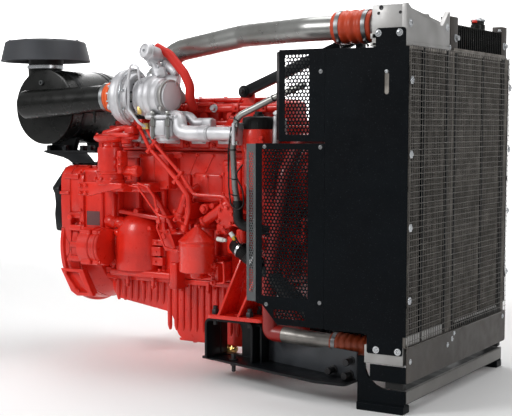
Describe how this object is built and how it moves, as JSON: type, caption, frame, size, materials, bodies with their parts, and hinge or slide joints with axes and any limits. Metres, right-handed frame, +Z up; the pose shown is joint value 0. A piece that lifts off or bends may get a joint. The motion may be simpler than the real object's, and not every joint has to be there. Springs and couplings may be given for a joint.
{
  "type": "diesel power unit",
  "caption": "Turbocharged in-line diesel engine on short base rails, with radiator and charge air cooler in front and an open flywheel housing for a fire pump.",
  "frame": {"origin": "centre of the bounding box, on the plane under the front feet", "axes": "+X along the crankshaft from the flywheel to the radiator, +Z up, -Y is the turbocharger side"},
  "size_m": [2.24, 1.052, 1.4875],
  "materials": {
    "red_paint": "gloss orange-red paint",
    "black_paint": "satin black powder coat",
    "black_plastic": "moulded, matt",
    "bare_aluminium": "cast, heat-resistant silver coat",
    "zinc_steel": "galvanised tube",
    "dark_steel": "dark, lightly oiled",
    "core_metal": "finned cooler core",
    "orange_rubber": "silicone, matt",
    "black_rubber": "matt"
  },
  "bodies": {
    "unit": {"rail_right": "black_paint", "rail_left": "black_paint", "front_cross_member": "black_paint", "radiator_top_tank": "black_paint", "radiator_bottom_tank": "black_paint", "side_panel_right": "black_paint", "side_panel_left": "black_paint", "fan_shroud": "black_paint", "upper_guard_right": "black_paint", "lower_guard_right": "black_paint", "fan_guard_left": "black_paint", "air_cleaner_bracket": "black_paint", "stay_bar": "black_paint", "starter_motor": "black_paint", "engine_foot_right": "red_paint", "engine_foot_left": "red_paint", "coolant_pump": "red_paint", "cylinder_block": "red_paint", "flywheel_housing": "red_paint", "oil_sump": "red_paint", "cylinder_head": "red_paint", "valve_cover": "red_paint", "intake_manifold": "red_paint", "oil_cleaner": "red_paint", "breather_can": "red_paint", "fuel_filter": "red_paint", "oil_cooler_cover": "red_paint", "charge_cooler_core": "core_metal", "radiator_core": "core_metal", "charge_cooler_top_tank": "bare_aluminium", "charge_cooler_bottom_tank": "bare_aluminium", "alternator": "bare_aluminium", "exhaust_manifold": "bare_aluminium", "compressor_housing": "bare_aluminium", "turbine_housing": "bare_aluminium", "wastegate_actuator": "bare_aluminium", "lower_cover_plate": "dark_steel", "front_grille": "dark_steel", "air_cleaner_body": "black_plastic", "air_duct": "black_plastic", "rain_cap": "black_plastic", "drive_belt": "black_rubber", "intake_hose": "orange_rubber", "charge_hose": "orange_rubber", "return_hose": "orange_rubber", "charge_pipe": "zinc_steel", "return_pipe": "zinc_steel", "coolant_pipe": "zinc_steel"},
    "crank": {"crankshaft": "dark_steel", "flywheel": "dark_steel", "crank_pulley": "red_paint"},
    "fan_set": {"fan": "black_plastic", "fan_hub": "red_paint"},
    "alternator_rotor": {"alternator_rotor": "bare_aluminium"},
    "tensioner": {"tensioner_arm": "red_paint"},
    "tensioner_roller": {"tensioner_roller": "red_paint"},
    "turbo_rotor": {"turbo_rotor": "bare_aluminium"},
    "wastegate_rod": {"wastegate_rod": "bare_aluminium"},
    "radiator_cap": {"radiator_cap": "dark_steel"},
    "oil_cleaner_rotor": {"oil_cleaner_rotor": "red_paint"}
  },
  "joints": [
    {"name": "crank_spin", "type": "hinge", "parent": "unit", "child": "crank", "pos_m": [0, 0, 0.5], "axis": [1, 0, 0], "continuous": true},
    {"name": "fan_spin", "type": "hinge", "parent": "unit", "child": "fan_set", "pos_m": [0.5, 0, 0.79], "axis": [1, 0, 0], "continuous": true},
    {"name": "alternator_spin", "type": "hinge", "parent": "unit", "child": "alternator_rotor", "pos_m": [0.45, 0.29, 0.7], "axis": [1, 0, 0], "continuous": true},
    {"name": "tensioner_swing", "type": "hinge", "parent": "unit", "child": "tensioner", "pos_m": [0.45, -0.128, 0.572], "axis": [1, 0, 0], "range_deg": [-10, 0], "stiffness_Nm_per_rad": 30, "springref_deg": 8.59},
    {"name": "tensioner_roller_spin", "type": "hinge", "parent": "tensioner", "child": "tensioner_roller", "pos_m": [0.51, -0.125, 0.65], "axis": [1, 0, 0], "continuous": true},
    {"name": "turbo_spin", "type": "hinge", "parent": "unit", "child": "turbo_rotor", "pos_m": [-0.2, -0.33, 1.165], "axis": [1, 0, 0], "continuous": true},
    {"name": "wastegate_slide", "type": "slide", "parent": "unit", "child": "wastegate_rod", "axis": [-0.5505, 0, 0.8348], "range_m": [0, 0.01], "stiffness_N_per_m": 400},
    {"name": "radiator_cap_turn", "type": "hinge", "parent": "unit", "child": "radiator_cap", "pos_m": [1.035, 0.32, 1.465], "axis": [0, 0, 1], "range_deg": [0, 90]},
    {"name": "oil_cleaner_spin", "type": "hinge", "parent": "unit", "child": "oil_cleaner_rotor", "pos_m": [0.098, -0.37, 0.5], "axis": [0, 0, 1], "continuous": true}
  ],
  "couplings": [
    {"joint": "fan_spin", "follows": "crank_spin", "ratio": 1.3333},
    {"joint": "alternator_spin", "follows": "crank_spin", "ratio": 3.4286},
    {"joint": "tensioner_roller_spin", "follows": "crank_spin", "ratio": 3.4286}
  ]
}
